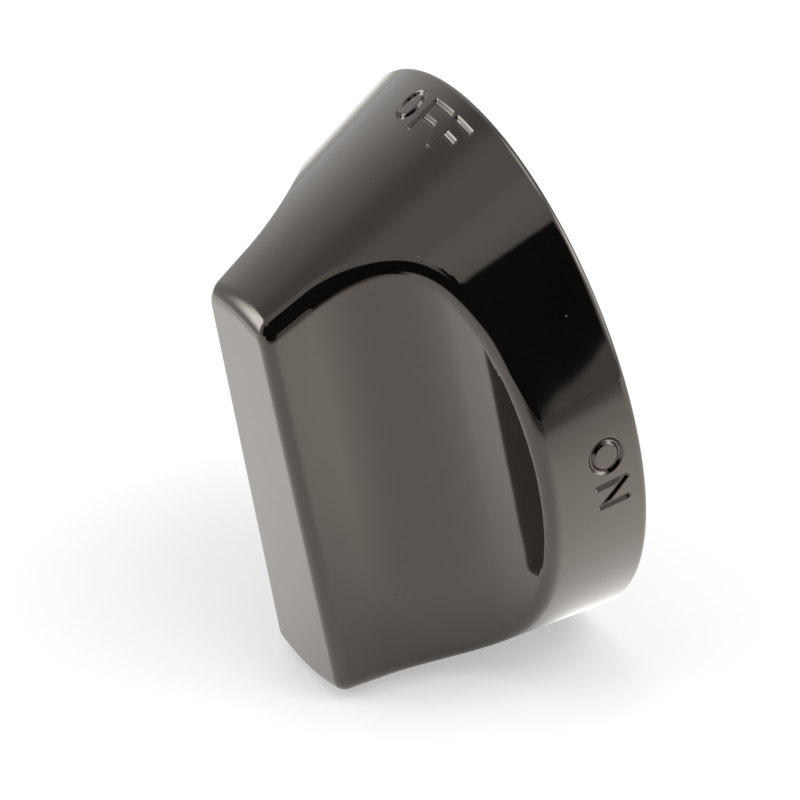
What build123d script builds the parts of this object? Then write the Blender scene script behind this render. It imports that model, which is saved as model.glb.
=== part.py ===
"""Push-on range burner knob: one moulded body with a bar grip, and the spring clip in its hub.

Drawn with the stem axis along Z, the rim plane at Z 0 and the OFF side towards +Y.  The last step
turns it to how it sits on the range, with the mouth of the stem hole at the origin: stem axis along
Y, grip towards -Y, OFF side up.
"""
from build123d import *
from math import atan, cos, degrees, radians, sin, tan
import os

# Driving dimensions in millimetres and degrees
# Skirt and grip
RIM_RADIUS = 28.6
KNOB_HEIGHT = 27.2
OFF_END_REACH = 15.0        # stem axis to the grip's end on the OFF side, at the top face
LOW_END_INSET = 0.2         # how far the opposite end leans in at the top face
GRIP_TOP_WIDTH = 13.4       # across the top face, over the stem axis
GRIP_PLAN_TAPER = 1.3       # each flank closes towards the OFF end by this angle
FLANK_DRAFT = 9.8           # flank's lean from upright
SCOOP_START_HEIGHT = 22.2   # flank runs straight down to here
SCOOP_RADIUS = 13.3         # hollow between flank and scoop floor
SCOOP_FLOOR_RADIUS = 45.0   # floor's own shallow curve, out to where it is level
SCOOP_FLOOR_ANGLE = 19.3    # floor's fall where it leaves the hollow
EDGE_RADIUS = 0.9           # round the grip's top face
RIDGE_CHAMFER = 0.8         # along the ridge round each scoop
RIM_CHAMFER = 0.5

# Hollow underside
WALL = 2.8
TOP_WALL = 3.2
RIB_COUNT = 4
RIB_THICKNESS = 2.0
RIB_SETBACK = 2.5           # ribs stop this far inside the rim plane

# Hub and its D-shaped hole
STEM_DIAMETER = 7.94
STEM_FLAT_TO_AXIS = 2.38
BORE_CLEARANCE = 0.03       # round the stem's D-shaped end, and under its flat
LEAD_IN_CLEARANCE = 0.28    # round the stem, at the hole's mouth
HUB_RADIUS = 8.0
HUB_SETBACK = 1.0           # hub stops this far inside the rim plane
LEAD_IN_DEPTH = 5.0         # round part of the hole, at its mouth
BORE_DEPTH = 18.0

# Spring clip
CLIP_THICKNESS = 0.5
CLIP_WIDTH = 4.8
CLIP_SIDE_CLEARANCE = 0.1
CLIP_LEG_GAP = 1.5          # between the two legs, at the bend
CLIP_BOW = 0.35             # inner leg's bow towards the stem's flat
CLIP_SETBACK = 0.4          # bend lies this far behind the lead-in
CLIP_TIP_CLEARANCE = 0.5    # inner leg stops short of the hole's end

# Worked out from the above
LOW_END_REACH = RIM_RADIUS - LOW_END_INSET
TOP_RADIUS = (OFF_END_REACH + LOW_END_REACH) / 2
TOP_OFFSET = (OFF_END_REACH - LOW_END_REACH) / 2
ROOF = KNOB_HEIGHT - TOP_WALL
BORE_END = HUB_SETBACK + BORE_DEPTH
D_START = HUB_SETBACK + LEAD_IN_DEPTH
BEND_RADIUS = (CLIP_LEG_GAP + CLIP_THICKNESS) / 2
BEND_HEIGHT = D_START + CLIP_SETBACK + BEND_RADIUS + CLIP_THICKNESS / 2
CLIP_LEG = BORE_END - CLIP_TIP_CLEARANCE - BEND_HEIGHT
BOW_ANGLE = 2 * atan(2 * CLIP_BOW / CLIP_LEG)
BEND_CENTRE = -(STEM_FLAT_TO_AXIS + CLIP_THICKNESS / 2 + CLIP_BOW + BEND_RADIUS * cos(BOW_ANGLE))
CLIP_SEAT = BEND_CENTRE - BEND_RADIUS - CLIP_THICKNESS / 2
BEYOND = 2 * RIM_RADIUS     # long enough for any cut to run past the body
STANDING = (Align.CENTER, Align.CENTER, Align.MIN)
AS_FITTED = Rot(90, 0, 0) * Pos(0, 0, -HUB_SETBACK)


def leaning_cone(top, inset):
    """Solid from the rim plane up to a height, its wall drawn in by an inset."""
    share = top / KNOB_HEIGHT
    top_radius = RIM_RADIUS + (TOP_RADIUS - RIM_RADIUS) * share
    rim = Circle(RIM_RADIUS - inset)
    crown = Pos(0, TOP_OFFSET * share, top) * Circle(top_radius - inset)
    return loft([rim, crown], ruled=True)


def scoop_outline(inset):
    """Closed face of one scoop in the XZ plane: drafted flank, round hollow, floor easing to level."""
    draft = radians(FLANK_DRAFT)
    flank_x = GRIP_TOP_WIDTH / 2 + (KNOB_HEIGHT - SCOOP_START_HEIGHT) * tan(draft)
    # The whole line moves into the body by the inset, square to itself
    foot = (flank_x - inset * cos(draft), SCOOP_START_HEIGHT - inset * sin(draft))
    head = (foot[0] - BEYOND * sin(draft), foot[1] + BEYOND * cos(draft))
    flank = Line(head, foot)
    hollow = JernArc(foot, flank % 1, SCOOP_RADIUS + inset, 90 - FLANK_DRAFT - SCOOP_FLOOR_ANGLE)
    floor = JernArc(hollow @ 1, hollow % 1, SCOOP_FLOOR_RADIUS + inset, SCOOP_FLOOR_ANGLE)
    level = (floor @ 1).Y
    closing = Polyline(floor @ 1, (BEYOND, level), (BEYOND, head[1]), head)
    return make_face(Plane.XZ * (flank + hollow + floor + closing))


def scoops(inset):
    """The two scoops that leave the bar grip between them."""
    near = extrude(scoop_outline(inset), amount=BEYOND, both=True)
    near = Rot(0, 0, GRIP_PLAN_TAPER) * near
    return near + mirror(near, about=Plane.YZ)


def outer_body():
    """Leaning cone with both scoops taken out, its rim and ridges chamfered, its top edges rounded."""
    body = leaning_cone(KNOB_HEIGHT, 0) - scoops(0)
    rim = body.edges().group_by(Axis.Z)[0]
    body = chamfer(rim, RIM_CHAMFER)
    wall = body.faces().filter_by(GeomType.PLANE, reverse=True).sort_by(SortBy.AREA)[-1]
    above_rim = scoop_outline(0).bounding_box().min.Z / 2
    below_top = KNOB_HEIGHT - EDGE_RADIUS
    ridges = wall.edges().filter_by(
        lambda edge: above_rim < edge.bounding_box().min.Z < below_top
    )
    body = chamfer(ridges, RIDGE_CHAMFER)
    return fillet(body.faces().sort_by(Axis.Z)[-1].edges(), EDGE_RADIUS)


def hub_and_ribs():
    """Solid post round the stem hole, and the ribs from it out to the skirt."""
    post = Pos(0, 0, HUB_SETBACK) * Cylinder(HUB_RADIUS, KNOB_HEIGHT, align=STANDING)
    rib = Pos(0, 0, RIB_SETBACK) * Box(
        RIM_RADIUS, RIB_THICKNESS, KNOB_HEIGHT, align=(Align.MIN, Align.CENTER, Align.MIN)
    )
    turn = 360 / RIB_COUNT
    ribs = [Rot(0, 0, turn * (index + 0.5)) * rib for index in range(RIB_COUNT)]
    return post + ribs


def stem_hole():
    """Round lead-in, D-shaped hole behind it, and the groove in the flat for the clip."""
    radius = STEM_DIAMETER / 2 + BORE_CLEARANCE
    flat = STEM_FLAT_TO_AXIS + BORE_CLEARANCE
    bore = Cylinder(radius, BORE_DEPTH, align=STANDING)
    below_flat = Pos(0, -flat) * Box(
        2 * radius, radius, BORE_DEPTH, align=(Align.CENTER, Align.MAX, Align.MIN)
    )
    lead_in = Cylinder(STEM_DIAMETER / 2 + LEAD_IN_CLEARANCE, LEAD_IN_DEPTH, align=STANDING)
    groove_width = CLIP_WIDTH + 2 * CLIP_SIDE_CLEARANCE
    groove = Pos(0, CLIP_SEAT) * Box(
        groove_width, -CLIP_SEAT, BORE_DEPTH, align=(Align.CENTER, Align.MIN, Align.MIN)
    )
    return Pos(0, 0, HUB_SETBACK) * (bore - below_flat + lead_in + groove)


def knob_body():
    """The one moulding: outer form less its hollow, with hub and ribs left standing."""
    cavity = leaning_cone(ROOF, WALL) - scoops(WALL)
    hollow = cavity - hub_and_ribs()
    return outer_body() - hollow - stem_hole()


def stem_spring_clip():
    """Hairpin of flat spring strip: straight leg on the groove's back, bowed leg under the stem's flat."""
    outer_y = BEND_CENTRE - BEND_RADIUS
    straight = Line((outer_y, BORE_END), (outer_y, BEND_HEIGHT))
    bend = JernArc(straight @ 1, straight % 1, BEND_RADIUS, 180 - degrees(BOW_ANGLE))
    bow_radius = CLIP_LEG / 2 / sin(BOW_ANGLE)
    bow = JernArc(bend @ 1, bend % 1, bow_radius, 2 * degrees(BOW_ANGLE))
    strip = trace(straight + bend + bow, CLIP_THICKNESS)
    return extrude(Plane.YZ * strip, amount=CLIP_WIDTH / 2, both=True)


def main():
    """Write each piece to its own file, turned to how it sits on the range."""
    os.makedirs("parts", exist_ok=True)
    pieces = {"knob_body": knob_body(), "stem_spring_clip": stem_spring_clip()}
    for name, piece in pieces.items():
        export_step(AS_FITTED * piece, f"parts/{name}.step")


main()
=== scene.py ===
"""Range burner knob: glossy black moulding with sunk OFF and ON lettering, on a white table.

The form is worked out in the drawn frame of the part: millimetres, stem axis along Z, rim plane at
Z 0, OFF side towards +Y.  to_frame() turns it into the shared frame in metres.
"""

from math import cos, radians, sin, sqrt, tan

import bpy
import numpy as np
from mathutils import Matrix, Vector


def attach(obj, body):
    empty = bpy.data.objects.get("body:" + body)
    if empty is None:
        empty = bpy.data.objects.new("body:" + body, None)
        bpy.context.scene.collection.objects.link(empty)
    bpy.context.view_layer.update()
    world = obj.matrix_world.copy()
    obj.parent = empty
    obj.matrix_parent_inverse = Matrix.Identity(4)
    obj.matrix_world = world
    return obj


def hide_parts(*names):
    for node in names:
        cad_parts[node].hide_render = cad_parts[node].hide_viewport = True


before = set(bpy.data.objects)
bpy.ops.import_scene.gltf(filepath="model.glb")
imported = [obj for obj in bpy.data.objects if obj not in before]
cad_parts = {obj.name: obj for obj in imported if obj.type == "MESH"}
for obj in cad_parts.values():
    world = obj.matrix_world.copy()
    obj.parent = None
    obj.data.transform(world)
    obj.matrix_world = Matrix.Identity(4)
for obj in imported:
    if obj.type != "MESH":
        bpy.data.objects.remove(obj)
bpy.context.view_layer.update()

MM = 0.001
DEGREES_PER_RADIAN = 57.2958

# Skirt and grip, as in the part's source, but for the scoop's line, about a tenth of a millimetre off it
RIM_RADIUS = 28.6
TOP_RADIUS = 21.7
TOP_OFFSET = -6.7
KNOB_HEIGHT = 27.2
GRIP_HALF_WIDTH = 6.7
GRIP_TAPER = radians(1.3)
FLANK_DRAFT = radians(9.8)
SCOOP_START_HEIGHT = 22.18
SCOOP_RADIUS = 13.5
FLOOR_RADIUS = 42.0
FLOOR_ANGLE = radians(18.4)

# Roundings of the outer edges: top face, ridges and what they gain between two heights, rim
TOP_ROUND = 1.3
RIDGE_ROUND = 1.1
RIDGE_SWELL = 0.45
RIDGE_SWELL_HEIGHTS = (14, 22)
RIM_ROUND = 0.55
# Roundings of the hollow's corners, and of the edges at its mouth
CORNER_ROUND = 0.9
MOUTH_ROUND = 0.4

# Hollow, hub, ribs and stem hole, as in the part's source
WALL = 2.8
ROOF = 24.0
HUB_RADIUS = 8.0
HUB_SETBACK = 1.0
RIB_HALF = 1.0
RIB_SETBACK = 2.5
LEAD_IN_RADIUS = 4.25
LEAD_IN_END = 6.0
BORE_RADIUS = 4.0
BORE_FLAT = 2.41
BORE_END = 19.0
GROOVE_HALF = 2.5
GROOVE_BACK = 5.23

# Worked out from the above
LEAN = TOP_OFFSET / KNOB_HEIGHT
SHRINK = (RIM_RADIUS - TOP_RADIUS) / KNOB_HEIGHT
MOUTH_RADIUS = RIM_RADIUS - WALL
FLANK_FOOT = np.array([
    GRIP_HALF_WIDTH + (KNOB_HEIGHT - SCOOP_START_HEIGHT) * tan(FLANK_DRAFT), SCOOP_START_HEIGHT])
FLANK_NORMAL = np.array([cos(FLANK_DRAFT), sin(FLANK_DRAFT)])
FLOOR_NORMAL = np.array([sin(FLOOR_ANGLE), cos(FLOOR_ANGLE)])
HOLLOW_CENTRE = FLANK_FOOT + SCOOP_RADIUS * FLANK_NORMAL
FLOOR_START = HOLLOW_CENTRE - SCOOP_RADIUS * FLOOR_NORMAL
FLOOR_CENTRE = FLOOR_START + FLOOR_RADIUS * FLOOR_NORMAL

# Lettering: each word by its angle round the skirt, in strokes along the skirt and up from the rim; a
# ring has its centre and half sizes, a bar its two ends
LETTER_RADIUS = 27.5
STROKE_HALF = 0.4
STROKE_DEPTH = 0.31
WORDS = {
    90.0: {
        "rings": [((-2.51, 4.05), (1.16, 1.62))],
        "bars": [
            ((0.24, 2.42), (0.24, 6.0)), ((0.24, 2.42), (3.3, 2.42)), ((0.24, 4.24), (2.55, 4.24)),
            ((4.29, 2.42), (4.29, 6.02)), ((4.29, 2.42), (6.9, 2.42)), ((4.29, 4.2), (6.3, 4.2)),
        ],
    },
    0.0: {
        "rings": [((-0.81, 3.65), (1.55, 1.46))],
        "bars": [
            ((2.24, 2.0), (2.24, 4.95)), ((2.24, 2.0), (4.54, 4.8)), ((4.54, 2.03), (4.54, 4.8)),
        ],
    },
}

# Rays that find the surface: where the outer ones start, longest length, times that it is halved
HEART = np.array([0.0, -3.0, 5.0])
LONGEST_RAY = 60.0
HALVINGS = 36
# Columns of the skirt: first and last angle of each zone, coarse count, and times closer in the band
SKIRT_ZONES = (
    (-13.2, 6.6, 25, 4), (6.6, 58, 56, 1), (58, 73.6, 48, 1), (73.6, 100.8, 34, 4),
    (100.8, 108, 8, 1), (108, 118, 30, 1), (118, 248, 118, 1), (248, 258, 26, 1),
    (258, 282, 22, 1), (282, 292, 26, 1), (292, 346.8, 50, 1),
)
# Rows of the outside: radii on the rim's flat, slants up the band, then the crown's count, the rows
# tried to space them, and the length that a turn of the normal by one counts for
RIM_FLAT_RADII = np.array([27.2, 27.6, 27.9, 28.1, 28.25, 28.37, 28.47, 28.54])
BAND_SLANTS = np.concatenate([
    [0.0, 0.07, 0.15, 0.25, 0.36, 0.5, 0.7, 0.95], np.arange(1.2, 6.5, 0.11), [6.7]])
CROWN_ROWS = 100
CROWN_TRIALS = 420
CROWN_TURN_LENGTH = 4.0
# Columns of the hollow: distances beside a rib's middle, and points across the pocket between two ribs
RIB_COLUMNS = np.array([0.25, 0.6, 0.8, 0.93, 0.9999, 1.0001, 1.05, 1.15, 1.32, 1.6])
POCKET_POINTS = 32
# Rows of the hollow, and its fans of rays: share of the way from hub to mouth and depth below the rim
# where a fan stands, run of the first row over the hub's face, longest run past the hub's wall, radius
# of the last row on the rim's flat
HOLLOW_ROWS = 52
HOLLOW_TRIALS = 320
HOLLOW_TURN_LENGTH = 2.4
FAN_SHARE = 0.3
FAN_DEPTH = 2.0
HUB_FACE_RUN = 2.4
HUB_LONGEST_RUN = 7.5
SEAM_RADIUS = 26.9
# Rows of the stem hole from its end outwards: outline (0 the D, 1 the lead-in), offset from it, height,
# and share of the outline's own normal against the axis
BORE_ROWS = (
    (0, -0.25, BORE_END, 0.0), (0, 0.0, BORE_END - 0.15, 1.0), (0, 0.0, LEAD_IN_END + 0.12, 1.0),
    (0, 0.008, LEAD_IN_END, 0.0), (1, -0.002, LEAD_IN_END, 0.0), (1, 0.0, LEAD_IN_END - 0.1, 1.0),
    (1, 0.0, HUB_SETBACK + 0.25, 1.0), (1, 0.08, HUB_SETBACK + 0.07, 0.5),
    (1, 0.27, HUB_SETBACK, 0.0),
)
BORE_SHOULDER = 0.01

# Plastic: index of refraction, tint of its reflections, its darkest and palest black, colour of dust
PLASTIC_IOR = 1.92
PLASTIC_TINT = (1.0, 0.9, 0.82, 1)
PLASTIC_BLACKS = ((0.003, 0.0025, 0.002, 1), (0.005, 0.0043, 0.0036, 1))
DUST_COLOUR = (0.1, 0.096, 0.09, 1)
# Dust: cells to the metre, where a speck fades from its cell's middle, and which cells have one
DUST_CELLS = 800.0
DUST_FADE = (0.03, 0.09)
DUST_CHANCE = (0.94, 0.945)
# Roughness of the polished outside, of the satin underside, of dust and of the steel
POLISH = (0.02, 0.045)
SATIN = (0.26, 0.42)
DUST_ROUGHNESS = 0.6
STEEL_ROUGHNESS = (0.22, 0.42)
# Heights of the outside's ripple, of the underside's grain and of the steel's streaks
RIPPLE_HEIGHT = 0.008 * MM
GRAIN_HEIGHT = 0.012 * MM
STREAK_HEIGHT = 0.004 * MM
# Steel: darkest and palest grey, and how close its streaks lie along each axis
STEEL_GREYS = ((0.42, 0.41, 0.4, 1), (0.66, 0.65, 0.64, 1))
STEEL_STREAKS = (9000, 300, 900)

# Tent: plain level, and panels that add their strength to it.  Each rises, holds and falls over four
# turns from the front to the right and over four heights, all in degrees
TENT_LEVEL = 0.66
TENT_PANELS = (
    ((-84, -60, -56, -34), (36, 50, 54, 68), -0.27),
    ((-150, -130, -90, -72), (-60, -50, 52, 62), 0.38),
    ((-66, -44, -30, -26), (-2, 20, 38, 44), 4.6),
    ((-34, -24, 12, 20), (-60, -50, 4, 10), 0.32),
    ((-4, 8, 40, 50), (58, 63, 70, 76), 0.14),
    ((78, 96, 140, 165), (36, 46, 58, 68), 3.2),
    ((88, 108, 150, 175), (2, 14, 40, 52), 2.2),
    ((66, 70, 88, 104), (-60, -50, 8, 24), -0.24),
    ((-300, -200, 200, 300), (70, 80, 95, 99), 2.0),
)
# Dark doorway: its low left part and its main part over turns and heights, both ending at a post and
# a lintel, which lean by a share of the height or of the turn
TENT_OPENINGS = (
    ((-8, -3, 130, 150), (8, 12, 40, 44)),
    ((12, 20, 130, 150), (-60, -50, 80, 90)),
)
DOOR_POST = (76.05, 76.25)
POST_LEAN = 0.25
DOOR_LINTEL = (62.9, 64.1)
LINTEL_LEAN = 0.15

# Table: height just under the rim, half side in metres, matte colour and the glow added to it
TABLE_HEIGHT = -28.62 * MM
TABLE_HALF_SIDE = 3.0
TABLE_COLOUR = (0.57, 0.567, 0.562, 1)
TABLE_GLOW = 0.4
# Table in reflections, a glow of painted light and painted shadow that only glossy rays see: colour,
# painted light level over the degrees away from its dimmest turn, painted light added on the right over
# two turns and two distances in metres, and painted shadows by a share over turns and distances
MIRRORED_COLOUR = (1, 0.985, 0.965, 1)
DIMMEST_TURN = 27.0
MIRRORED_PAINTED_LIGHT = (10, 80, 0.95, 1.55)
RIGHT_PAINTED_LIGHT_TURNS = (48, 85)
RIGHT_PAINTED_LIGHT = (0.02, 0.16, 0.4, -0.14)
# Painted shadows in the table's reflected glow: the knob's contact shadow beside it, painted shade
# growing towards the dark side, and painted shade far off to the left
TABLE_PAINTED_SHADOWS = (
    ((4, 24, 55, 85), 0.038, 0.01, 0.66),
    ((14, 46, 74, 86), 0.09, 0.42, 0.83),
    ((-120, -90, -48, -32), 0.16, 0.5, 0.5),
)

# Camera: lens and sensor in millimetres, place and nearest distance in metres, right, up and back axes
CAMERA_LENS = 238.75
CAMERA_SENSOR = 36.0
CAMERA_PLACE = (0.42229, -0.18275, 0.25925)
CAMERA_NEAREST = 0.01
CAMERA_AXES = (
    (0.46012, 0.8714, -0.17016), (-0.37815, 0.36574, 0.85044), (0.8033, -0.32695, 0.4978))


def to_frame(points):
    """Drawn frame in millimetres to the shared frame in metres: X stays, Y is the set-back less Z,
    Z is Y."""
    return np.stack([points[:, 0], HUB_SETBACK - points[:, 2], points[:, 1]], 1) * MM


def turned(normals):
    """The same turn for directions."""
    return np.stack([normals[:, 0], -normals[:, 2], normals[:, 1]], 1)


def unit(v):
    """Vectors over their lengths."""
    return v / np.linalg.norm(v, axis=-1, keepdims=True)


def smooth(values, start, end):
    """Smooth step: nought up to start, one from end on, and three squares less two cubes between."""
    share = np.clip((values - start) / (end - start), 0, 1)
    return share * share * (3 - 2 * share)


def rounded(radius, *distances):
    """Common part of several forms, its edges rounded: root of the summed squares within one radius."""
    nearest = np.maximum.reduce(distances)
    squares = sum(np.maximum(radius + d, 0) ** 2 for d in distances)
    return np.minimum(-radius, nearest) + np.sqrt(squares)


def skirt_distance(x, y, z, inset=0.0):
    """Distance from the leaning cone: radius about its shifted centre less the cone's radius there,
    over the length of that difference's gradient."""
    across = y - LEAN * z
    radius = np.hypot(x, across)
    slope = SHRINK - LEAN * across / np.maximum(radius, 1e-9)
    return (radius - RIM_RADIUS + inset + SHRINK * z) / np.sqrt(1 + slope**2)


def scoop_distance(x, y, z, inset=0.0):
    """Depth into a scoop: past the flank's line above its foot, then the hollow's radius and further
    out the floor's radius, each less the distance from its centre."""
    u = np.abs(x) * cos(GRIP_TAPER) + y * sin(GRIP_TAPER)
    du, dz = u - FLANK_FOOT[0], z - FLANK_FOOT[1]
    flank = du * FLANK_NORMAL[0] + dz * FLANK_NORMAL[1]
    hollow = SCOOP_RADIUS - np.hypot(u - HOLLOW_CENTRE[0], z - HOLLOW_CENTRE[1])
    floor = FLOOR_RADIUS - np.hypot(u - FLOOR_CENTRE[0], z - FLOOR_CENTRE[1])
    above_foot = dz * FLANK_NORMAL[0] - du * FLANK_NORMAL[1] > 0
    on_floor = (u - FLOOR_START[0]) * FLOOR_NORMAL[1] > (z - FLOOR_START[1]) * FLOOR_NORMAL[0]
    return np.where(on_floor, floor, np.where(above_foot, flank, hollow)) + inset


def bar_distance(w, s, start, end):
    """Distance to a straight stroke: to the nearest point between its two ends."""
    dw, ds = end[0] - start[0], end[1] - start[1]
    share = np.clip(((w - start[0]) * dw + (s - start[1]) * ds) / (dw * dw + ds * ds), 0, 1)
    return np.hypot(w - start[0] - share * dw, s - start[1] - share * ds)


def ring_distance(w, s, centre, half):
    """Distance to an oval stroke: the oval's own equation over its gradient."""
    a, b = (w - centre[0]) / half[0], (s - centre[1]) / half[1]
    k = np.hypot(a, b)
    return np.abs(k * (k - 1)) / np.maximum(np.hypot(a / half[0], b / half[1]), 1e-6)


def lettering_depth(x, y, z):
    """Depth of the sunk words: full along a stroke's middle line, easing to nothing at its edge."""
    angle = np.arctan2(y - LEAN * z, x)
    slant = z * np.sqrt(1 + (SHRINK - LEAN * np.sin(angle)) ** 2)
    depth = np.zeros_like(x)
    for word, strokes in WORDS.items():
        w = (radians(word) - angle) * LETTER_RADIUS
        near = np.minimum.reduce(
            [ring_distance(w, slant, centre, half) for centre, half in strokes["rings"]]
            + [bar_distance(w, slant, start, end) for start, end in strokes["bars"]])
        depth += STROKE_DEPTH * (1 - smooth(near, 0, STROKE_HALF))
    return depth


def plain_form(p):
    """Outer form: leaning cone less both scoops, under the top face, edges rounded (the ridges more as
    they rise), closed by the rim plane."""
    x, y, z = p[..., 0], p[..., 1], p[..., 2]
    ridge_round = RIDGE_ROUND + RIDGE_SWELL * smooth(z, *RIDGE_SWELL_HEIGHTS)
    form = rounded(ridge_round, skirt_distance(x, y, z), scoop_distance(x, y, z))
    return rounded(RIM_ROUND, rounded(TOP_ROUND, form, z - KNOB_HEIGHT), -z)


def lettered_form(p):
    """Outer form with the lettering's depth added to the distance."""
    return plain_form(p) + lettering_depth(p[..., 0], p[..., 1], p[..., 2])


def hollow_form(p):
    """Air under the moulding: inside the wall's inner cone, under the inner scoops and the roof, and
    clear of the hub and the four ribs at 45 degrees; edges and corners rounded."""
    x, y, z = p[..., 0], p[..., 1], p[..., 2]
    wall = -rounded(MOUTH_ROUND, -skirt_distance(x, y, z, WALL), -z)
    hub = -rounded(MOUTH_ROUND, np.hypot(x, y) - HUB_RADIUS, HUB_SETBACK - z)
    beside = np.abs(np.abs(x) - np.abs(y)) / sqrt(2)
    rib = -rounded(MOUTH_ROUND, beside - RIB_HALF, RIB_SETBACK - z)
    return rounded(CORNER_ROUND, wall, hub, rib, scoop_distance(x, y, z, WALL), z - ROOF)


def reach(form, origin, rays, longest=LONGEST_RAY):
    """Points where rays from an origin leave the form, by halving the span again and again."""
    low = np.zeros(rays.shape[:-1])
    high = low + longest
    for _ in range(HALVINGS):
        middle = (low + high) / 2
        outside = form(origin + rays * middle[..., None]) > 0
        high = np.where(outside, middle, high)
        low = np.where(outside, low, middle)
    return origin + rays * ((low + high) / 2)[..., None]


def slopes(form, points, step=0.004):
    """Unit gradient of a form by central differences."""
    shifts = np.eye(3) * step
    return unit(np.stack([form(points + s) - form(points - s) for s in shifts], -1))


def even_rows(angle, points, normals, count, turn_length):
    """Ray angles for rows spaced evenly, in each column, by length of surface plus a length for each
    turn of its normal."""
    length = np.linalg.norm(np.diff(points, axis=0), axis=-1)
    turn = np.linalg.norm(np.diff(normals, axis=0), axis=-1)
    run = np.cumsum(np.concatenate([0 * length[:1], length + turn_length * turn]), axis=0)
    lane = 2.0 * np.arange(run.shape[1])
    wanted = np.linspace(0, 1, count)[:, None] + lane
    return np.interp(wanted, (run / run[-1] + lane).T.ravel(), angle.T.ravel())


def ring_quads(first, rows, count):
    """Quads between neighbouring rings of equal count, closed round the end."""
    i, j = np.meshgrid(np.arange(rows - 1), np.arange(count), indexing="ij")
    a = first + i * count + j
    b = first + i * count + (j + 1) % count
    return np.stack([a, b, b + count, a + count], -1).reshape(-1, 4).tolist()


def ring_triangles(first_a, angles_a, first_b, angles_b):
    """Triangles between two rings of different counts: each edge joins the point that the other ring
    has reached by the edge's end."""
    a = (angles_a - angles_b[0]) % (2 * np.pi)
    order = np.argsort(a)
    a, index_a = a[order], first_a + order
    b = np.append((angles_b - angles_b[0]) % (2 * np.pi), 2 * np.pi)
    k, m = np.arange(len(a)), np.arange(len(angles_b))
    at_b = first_b + (np.searchsorted(b, a, side="right") - 1) % len(angles_b)
    at_a = index_a[np.searchsorted(a, b[1:], side="left") - 1]
    lower = np.stack([index_a[k - 1], index_a[k], at_b], 1)
    upper = np.stack([first_b + (m + 1) % len(m), first_b + m, at_a], 1)
    return lower.tolist() + upper.tolist()


def skirt_columns():
    """Angles round the skirt, closer past the grip's corners and four times closer under the words, and
    the index of every coarse one."""
    fine = [np.linspace(a, b, n * k, endpoint=False) for a, b, n, k in SKIRT_ZONES]
    keep = [np.arange(n * k) % k == 0 for a, b, n, k in SKIRT_ZONES]
    return np.radians(np.concatenate(fine)), np.nonzero(np.concatenate(keep))[0]


def skirt_rays(angles):
    """Rays to the rim's flat, round its edge and up the lettered band, one row per radius or slant."""
    flat, slants = RIM_FLAT_RADII[:, None], BAND_SLANTS[:, None]
    c, s = np.cos(angles), np.sin(angles)
    low = np.stack([flat * c, flat * s, 0 * flat * c], -1)
    z = slants / np.sqrt(1 + (SHRINK - LEAN * s) ** 2)
    radius = RIM_RADIUS - SHRINK * z
    band = np.stack([radius * c, LEAN * z + radius * s, z], -1)
    return unit(np.concatenate([low, band]) - HEART)


def crown_rays(start):
    """Rays from the band's last row up to just short of straight overhead."""
    level = unit(start * [1, 1, 0])
    rise = np.arcsin(start[:, 2])

    def rays(angle):
        return np.cos(angle)[..., None] * level + np.sin(angle)[..., None] * [0, 0, 1]

    angle = rise + (np.pi / 2 - rise) * np.linspace(0, 1, CROWN_TRIALS)[:, None]
    points = reach(plain_form, HEART, rays(angle))
    normals = slopes(plain_form, points)
    return rays(even_rows(angle, points, normals, CROWN_ROWS + 1, CROWN_TURN_LENGTH)[1:-1])


def hollow_columns():
    """Lines in plan from hub to mouth, as angles on both circles: side by side over each rib and its
    foot, and spread evenly across the pocket between two ribs."""
    beside = np.concatenate([-RIB_COLUMNS[::-1], RIB_COLUMNS])
    turns = []
    for radius in (HUB_RADIUS, MOUTH_RADIUS):
        rib = np.arcsin(beside / radius)
        pocket = np.linspace(rib[-1], np.pi / 2 - rib[-1], POCKET_POINTS)[1:-1]
        quarter = np.pi / 4 + np.concatenate([rib, pocket])
        turns.append((quarter + np.pi / 2 * np.arange(4)[:, None]).ravel())
    return turns


def hollow_rows():
    """Rows from the hub's face over hub wall, ceiling and inner wall to the rim's flat: in each column
    a fan of rays from a point a little below the rim."""
    at_hub, at_mouth = hollow_columns()
    start = HUB_RADIUS * np.stack([np.cos(at_hub), np.sin(at_hub)], 1)
    end = MOUTH_RADIUS * np.stack([np.cos(at_mouth), np.sin(at_mouth)], 1)
    along = unit(end - start)
    # Lengths along the line from the hub's wall: the fan's foot, and the last point on the rim
    foot = FAN_SHARE * np.linalg.norm(end - start, axis=1)
    inward = np.sum(start * along, axis=1)
    last = np.sqrt(inward**2 - HUB_RADIUS**2 + SEAM_RADIUS**2) - inward
    below = np.full((len(foot), 1), -FAN_DEPTH)
    origin = np.concatenate([start + along * foot[:, None], below], 1)
    first_angle = np.arctan2(HUB_SETBACK + FAN_DEPTH, -HUB_FACE_RUN - foot)
    last_angle = np.arctan2(FAN_DEPTH, last - foot)

    def cast(angle):
        c, s = np.cos(angle)[..., None], np.sin(angle)[..., None]
        rays = np.concatenate([c * along, s + 0 * c], -1)
        towards_hub = (foot + HUB_LONGEST_RUN) / np.maximum(-c[..., 0], 0.1)
        longest = np.where(c[..., 0] < 0, towards_hub, LONGEST_RAY)
        return reach(hollow_form, origin, rays, np.minimum(longest, LONGEST_RAY))

    angle = first_angle + (last_angle - first_angle) * np.linspace(0, 1, HOLLOW_TRIALS)[:, None]
    points = cast(angle)
    normals = slopes(hollow_form, points)
    points = cast(even_rows(angle, points, normals, HOLLOW_ROWS, HOLLOW_TURN_LENGTH))
    return points, -slopes(hollow_form, points)


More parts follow.
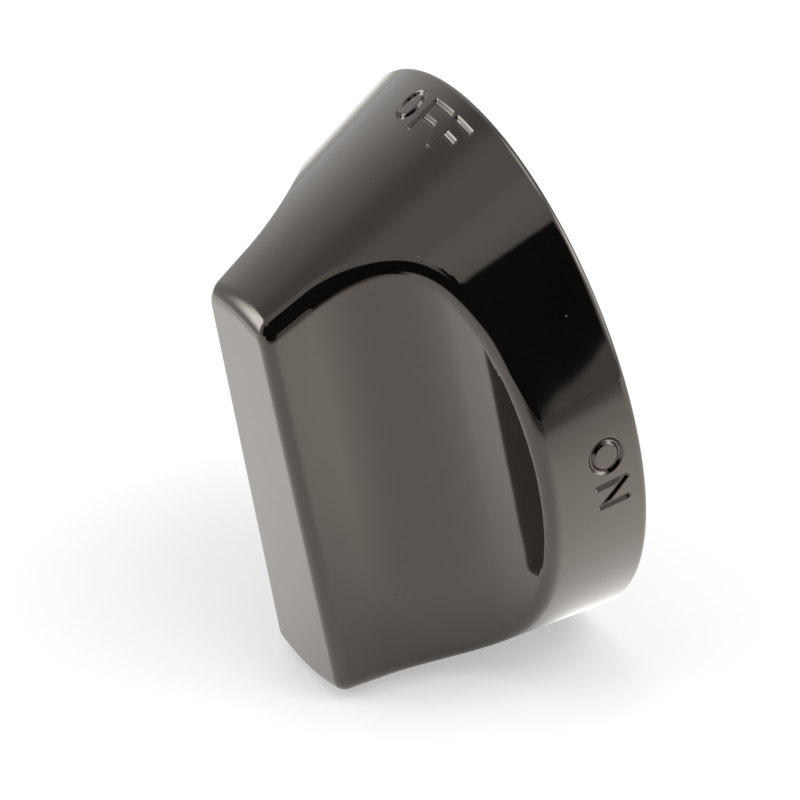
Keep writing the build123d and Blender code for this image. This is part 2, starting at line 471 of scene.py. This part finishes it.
def bore_outlines(turn):
    """Radius over angle of the stem hole's D and of its round lead-in, both with the clip's groove."""
    s, c = np.sin(turn), np.cos(turn)
    down = np.maximum(-s, 1e-6)
    groove = np.minimum(GROOVE_HALF / np.maximum(np.abs(c), 1e-6), GROOVE_BACK / down)
    groove = np.where(s < 0, groove, 0)
    lead_in = np.maximum(LEAD_IN_RADIUS, groove)
    dee = np.where(s < 0, np.minimum(BORE_RADIUS, BORE_FLAT / down), BORE_RADIUS)
    return np.stack([np.minimum(np.maximum(dee, groove), lead_in - BORE_SHOULDER), lead_in])


def bore_rows(angle, step=0.004):
    """Stem hole from its end to the hub's face: an outline's radius at each height, and normals that
    point inward, square to the outline by its rate over the angle, or along the axis."""
    outlines = bore_outlines(angle)
    radial = np.stack([np.cos(angle), np.sin(angle), 0 * angle], 1)
    around = np.stack([-np.sin(angle), np.cos(angle), 0 * angle], 1)
    rate = (bore_outlines(angle + step) - bore_outlines(angle - step)) / (2 * step)
    inward = unit(rate[..., None] * around - outlines[..., None] * radial)
    facing = np.array([0.0, 0.0, -1.0])
    points, normals = [], []
    for line, offset, height, share in BORE_ROWS:
        points.append((outlines[line] + offset)[:, None] * radial + [0, 0, height])
        normals.append(unit(share * inward[line] + (1 - share) * facing))
    return np.stack(points), np.stack(normals)


def make_object(name, points, faces, normals):
    """Mesh object in the shared frame, smooth, with the worked-out normals."""
    mesh = bpy.data.meshes.new(name)
    mesh.from_pydata(to_frame(points), [], faces)
    mesh.shade_smooth()
    mesh.normals_split_custom_set_from_vertices(turned(normals))
    made = bpy.data.objects.new(name, mesh)
    bpy.context.scene.collection.objects.link(made)
    return made


def knob_moulding():
    """The one moulding as a closed skin: stem hole, hollow underside, rim with the lettered band,
    crown."""
    angles, keep = skirt_columns()
    rays = skirt_rays(angles)
    band = reach(lettered_form, HEART, rays)
    crown = reach(plain_form, HEART, crown_rays(rays[-1][keep]))
    under, under_normals = hollow_rows()
    bore, bore_normals = bore_rows(np.arctan2(under[0, :, 1], under[0, :, 0]))
    # Middle points that close the stem hole's end and the top face
    ends = np.array([[0.0, 0.0, BORE_END], [0.0, HEART[1], KNOB_HEIGHT]])

    parts = [ends, np.concatenate([bore, under]), band, crown]
    points = np.concatenate([part.reshape(-1, 3) for part in parts])
    normals = np.concatenate([
        [[0.0, 0.0, -1.0], [0.0, 0.0, 1.0]],
        bore_normals.reshape(-1, 3), under_normals.reshape(-1, 3),
        slopes(lettered_form, band).reshape(-1, 3), slopes(plain_form, crown).reshape(-1, 3),
    ])
    rows, count = parts[1].shape[:2]
    bore_first = len(ends)
    band_first = bore_first + rows * count
    crown_first = band_first + band.shape[0] * len(angles)
    band_last, crown_last = crown_first - len(angles), len(points) - len(keep)
    mouth = np.arctan2(under[-1, :, 1], under[-1, :, 0])
    j, k = np.arange(count), np.arange(len(keep))
    faces = np.stack([0 * j, bore_first + j, bore_first + (j + 1) % count], 1).tolist()
    faces += ring_quads(bore_first, rows, count)
    faces += ring_triangles(band_first - count, mouth, band_first, angles)
    faces += ring_quads(band_first, band.shape[0], len(angles))
    faces += ring_triangles(band_last, angles, crown_first, angles[keep])
    faces += ring_quads(crown_first, crown.shape[0], len(keep))
    faces += np.stack([crown_last + k, crown_last + (k + 1) % len(k), 0 * k + 1], 1).tolist()
    made = make_object("knob_body_skin", points, faces, normals)
    under_share = made.data.attributes.new("underside", "FLOAT", "POINT")
    under_share.data.foreach_set("value", (np.arange(len(points)) < band_first).astype(np.float32))
    return made


def new_material(name):
    """Empty material, its node tree and its shader."""
    material = bpy.data.materials.new(name)
    material.use_nodes = True
    return material, material.node_tree, material.node_tree.nodes["Principled BSDF"]


def add_node(tree, kind, **values):
    """Node with its properties and sockets set by name."""
    node = tree.nodes.new(kind)
    for key, value in values.items():
        if key in node.inputs:
            node.inputs[key].default_value = value
        else:
            setattr(node, key, value)
    return node


def link_value(tree, value, socket):
    """Number onto a socket, or another node's output linked to it."""
    if hasattr(value, "is_output"):
        tree.links.new(value, socket)
    else:
        socket.default_value = value


def calc(tree, operation, a, b=0.0):
    """One operation on one or two values, each a number or another node's output."""
    node = add_node(tree, "ShaderNodeMath", operation=operation)
    link_value(tree, a, node.inputs[0])
    link_value(tree, b, node.inputs[1])
    return node.outputs[0]


def ease(tree, value, start, end, low=0.0, high=1.0):
    """Smooth step from low to high as a value goes from start to end."""
    node = add_node(tree, "ShaderNodeMapRange", interpolation_type="SMOOTHSTEP")
    link_value(tree, value, node.inputs["Value"])
    for name, number in (("From Min", start), ("From Max", end), ("To Min", low), ("To Max", high)):
        node.inputs[name].default_value = number
    return node.outputs[0]


def mix(tree, share, low, high):
    """Low value where the share is nought, high where it is one."""
    node = add_node(tree, "ShaderNodeMapRange")
    link_value(tree, share, node.inputs["Value"])
    link_value(tree, low, node.inputs["To Min"])
    link_value(tree, high, node.inputs["To Max"])
    return node.outputs[0]


def tinted(tree, share, colours):
    """First colour where the share is nought, second where it is one."""
    node = add_node(tree, "ShaderNodeValToRGB")
    for element, colour in zip(node.color_ramp.elements, colours):
        element.color = colour
    tree.links.new(share, node.inputs["Fac"])
    return node.outputs["Color"]


def raised(tree, height, shader):
    """Bump of a shader's normal by a height in metres."""
    relief = add_node(tree, "ShaderNodeBump", Distance=1.0)
    tree.links.new(height, relief.inputs["Height"])
    tree.links.new(relief.outputs["Normal"], shader.inputs["Normal"])


def dimmed(tree, level, share):
    """Level times one less a share."""
    return calc(tree, "MULTIPLY", level, calc(tree, "SUBTRACT", 1.0, share))


def span(tree, value, steps):
    """One inside four steps' middle, easing up to it from the first and down from it to the last."""
    rise, hold, fall, end = steps
    return calc(tree, "MULTIPLY", ease(tree, value, rise, hold), ease(tree, value, fall, end, 1, 0))


def coordinates(tree, kind):
    """The three coordinates of one kind."""
    place = add_node(tree, "ShaderNodeTexCoord")
    axes = add_node(tree, "ShaderNodeSeparateXYZ")
    tree.links.new(place.outputs[kind], axes.inputs[0])
    return axes.outputs


def compass(tree, x, y):
    """Turn in degrees from the front towards the right."""
    turn = calc(tree, "ARCTAN2", x, calc(tree, "MULTIPLY", y, -1.0))
    return calc(tree, "MULTIPLY", turn, DEGREES_PER_RADIAN)


def black_plastic():
    """Polished black plastic: faint cloud in colour and gloss, a breath of ripple, a few dust specks,
    and a plainer satin finish under the knob, told by the mesh's own attribute."""
    material, tree, shader = new_material("black_plastic_gloss")
    shader.inputs["IOR"].default_value = PLASTIC_IOR
    shader.inputs["Specular Tint"].default_value = PLASTIC_TINT
    place = add_node(tree, "ShaderNodeTexCoord")

    def noise(scale, detail):
        node = add_node(tree, "ShaderNodeTexNoise", Scale=scale, Detail=detail)
        tree.links.new(place.outputs["Object"], node.inputs["Vector"])
        return node.outputs["Fac"]

    inside = add_node(tree, "ShaderNodeAttribute", attribute_name="underside").outputs["Fac"]
    # Specks: the very middle of a few cells
    cells = add_node(tree, "ShaderNodeTexVoronoi", Scale=DUST_CELLS)
    tree.links.new(place.outputs["Object"], cells.inputs["Vector"])
    chance = add_node(tree, "ShaderNodeSeparateColor")
    tree.links.new(cells.outputs["Color"], chance.inputs[0])
    speck = calc(tree, "MULTIPLY", ease(tree, cells.outputs["Distance"], *DUST_FADE, 1, 0),
                 ease(tree, chance.outputs[0], *DUST_CHANCE))
    cloud = noise(90.0, 4.0)
    dusty = add_node(tree, "ShaderNodeMix", data_type="RGBA")
    dusty.inputs["B"].default_value = DUST_COLOUR
    tree.links.new(speck, dusty.inputs["Factor"])
    tree.links.new(tinted(tree, cloud, PLASTIC_BLACKS), dusty.inputs["A"])
    tree.links.new(dusty.outputs["Result"], shader.inputs["Base Color"])
    moulded = mix(tree, inside, mix(tree, cloud, *POLISH), mix(tree, noise(420.0, 3.0), *SATIN))
    finish = calc(tree, "MAXIMUM", moulded, calc(tree, "MULTIPLY", speck, DUST_ROUGHNESS))
    tree.links.new(finish, shader.inputs["Roughness"])
    ripple = calc(tree, "MULTIPLY", noise(150.0, 1.0), RIPPLE_HEIGHT)
    grain = calc(tree, "MULTIPLY", noise(2600.0, 2.0), calc(tree, "MULTIPLY", inside, GRAIN_HEIGHT))
    raised(tree, calc(tree, "ADD", ripple, grain), shader)
    return material


def spring_steel():
    """Rolled spring strip: fine streaks along its length in colour, gloss and height."""
    material, tree, shader = new_material("spring_steel_strip")
    shader.inputs["Metallic"].default_value = 1.0
    place = add_node(tree, "ShaderNodeTexCoord")
    stretch = add_node(tree, "ShaderNodeMapping", Scale=STEEL_STREAKS)
    tree.links.new(place.outputs["Object"], stretch.inputs["Vector"])
    noise = add_node(tree, "ShaderNodeTexNoise", Scale=1.0, Detail=3.0)
    tree.links.new(stretch.outputs["Vector"], noise.inputs["Vector"])
    streak = noise.outputs["Fac"]
    tree.links.new(tinted(tree, streak, STEEL_GREYS), shader.inputs["Base Color"])
    tree.links.new(mix(tree, streak, *STEEL_ROUGHNESS), shader.inputs["Roughness"])
    raised(tree, calc(tree, "MULTIPLY", streak, STREAK_HEIGHT), shader)
    return material


def studio_world():
    """Light tent: pale all round, open and dark towards the photographer, brighter panels at the left,
    at the front and overhead; plain white behind everything for the camera."""
    world = bpy.data.worlds.new("tent")
    world.use_nodes = True
    tree = world.node_tree
    background = tree.nodes["Background"]
    x, y, z = coordinates(tree, "Generated")
    turn = compass(tree, x, y)
    height = calc(tree, "MULTIPLY", calc(tree, "ARCSINE", z), DEGREES_PER_RADIAN)

    def panel(turns, heights):
        return calc(tree, "MULTIPLY", span(tree, turn, turns), span(tree, height, heights))

    def leaning_edge(along, across, lean, steps):
        leaned = calc(tree, "ADD", along, calc(tree, "MULTIPLY", across, lean))
        return ease(tree, leaned, *steps, 1, 0)

    level = TENT_LEVEL
    for turns, heights, strength in TENT_PANELS:
        level = calc(tree, "ADD", level, calc(tree, "MULTIPLY", panel(turns, heights), strength))
    post = leaning_edge(turn, height, POST_LEAN, DOOR_POST)
    lintel = leaning_edge(height, turn, LINTEL_LEAN, DOOR_LINTEL)
    door = calc(tree, "MULTIPLY", post, lintel)
    for turns, heights in TENT_OPENINGS:
        level = dimmed(tree, level, calc(tree, "MULTIPLY", panel(turns, heights), door))
    seen = add_node(tree, "ShaderNodeLightPath")
    level = mix(tree, seen.outputs["Is Camera Ray"], level, 1.0)
    tree.links.new(level, background.inputs["Strength"])
    background.inputs["Color"].default_value = (1, 1, 1, 1)
    bpy.context.scene.world = world


def table_white_painted_glow():
    """White table: matte for light and shadow, and for reflections a glow of painted light and shade:
    painted light brighter to the left and right, a painted shadow beside the knob, and painted shade
    fading it away towards the photographer's dark side."""
    material = bpy.data.materials.new("table_white_painted_glow")
    material.use_nodes = True
    tree = material.node_tree
    tree.nodes.clear()
    out = add_node(tree, "ShaderNodeOutputMaterial")
    matte = add_node(tree, "ShaderNodeBsdfDiffuse", Color=TABLE_COLOUR)
    glow = add_node(tree, "ShaderNodeEmission", Strength=TABLE_GLOW)
    lit = add_node(tree, "ShaderNodeAddShader")
    tree.links.new(matte.outputs[0], lit.inputs[0])
    tree.links.new(glow.outputs[0], lit.inputs[1])
    x, y, _ = coordinates(tree, "Object")
    turn = compass(tree, x, y)
    squares = calc(tree, "ADD", calc(tree, "MULTIPLY", x, x), calc(tree, "MULTIPLY", y, y))
    away = calc(tree, "SQRT", squares)
    aside = calc(tree, "ABSOLUTE", calc(tree, "SUBTRACT", turn, DIMMEST_TURN))
    # Painted pool of light on the table's right, seen only in reflections
    right = calc(tree, "MULTIPLY", ease(tree, turn, *RIGHT_PAINTED_LIGHT_TURNS), ease(tree, away, *RIGHT_PAINTED_LIGHT))
    level = calc(tree, "ADD", ease(tree, aside, *MIRRORED_PAINTED_LIGHT), right)
    # Painted shadows: the knob's contact shadow and shade towards the dark side and far left, seen only
    # in reflections
    for turns, near, far, share in TABLE_PAINTED_SHADOWS:
        reached = ease(tree, away, near, far, 0.0, share)
        level = dimmed(tree, level, calc(tree, "MULTIPLY", span(tree, turn, turns), reached))
    # Emission that paints the table's light and shadow for glossy rays only
    reflected_painted_light = add_node(tree, "ShaderNodeEmission", Color=MIRRORED_COLOUR)
    tree.links.new(level, reflected_painted_light.inputs["Strength"])
    seen = add_node(tree, "ShaderNodeLightPath")
    choice = add_node(tree, "ShaderNodeMixShader")
    tree.links.new(seen.outputs["Is Glossy Ray"], choice.inputs[0])
    tree.links.new(lit.outputs[0], choice.inputs[1])
    tree.links.new(reflected_painted_light.outputs[0], choice.inputs[2])
    tree.links.new(choice.outputs[0], out.inputs["Surface"])
    return material


def white_table():
    """Flat square under the rim's lowest point."""
    corners = np.array([[-1, -1], [1, -1], [1, 1], [-1, 1]]) * TABLE_HALF_SIDE
    mesh = bpy.data.meshes.new("table")
    mesh.from_pydata(np.column_stack([corners, np.full(4, TABLE_HEIGHT)]), [], [(0, 1, 2, 3)])
    mesh.materials.append(table_white_painted_glow())
    table = bpy.data.objects.new("table", mesh)
    bpy.context.scene.collection.objects.link(table)


def photograph_camera():
    """Camera of the photograph, set by its place and its three axes."""
    data = bpy.data.cameras.new("camera")
    data.lens = CAMERA_LENS
    data.sensor_width = CAMERA_SENSOR
    data.clip_start = CAMERA_NEAREST
    camera = bpy.data.objects.new("camera", data)
    turn = Matrix(CAMERA_AXES).transposed().to_4x4()
    camera.matrix_world = Matrix.Translation(Vector(CAMERA_PLACE)) @ turn
    bpy.context.scene.collection.objects.link(camera)
    bpy.context.scene.camera = camera


photograph_camera()
studio_world()
white_table()

body = knob_moulding()
body.data.materials.append(black_plastic())
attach(body, "root")
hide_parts("knob_body")

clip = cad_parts["stem_spring_clip"]
clip.data.materials.clear()
clip.data.materials.append(spring_steel())

bpy.context.scene.view_settings.view_transform = "Standard"
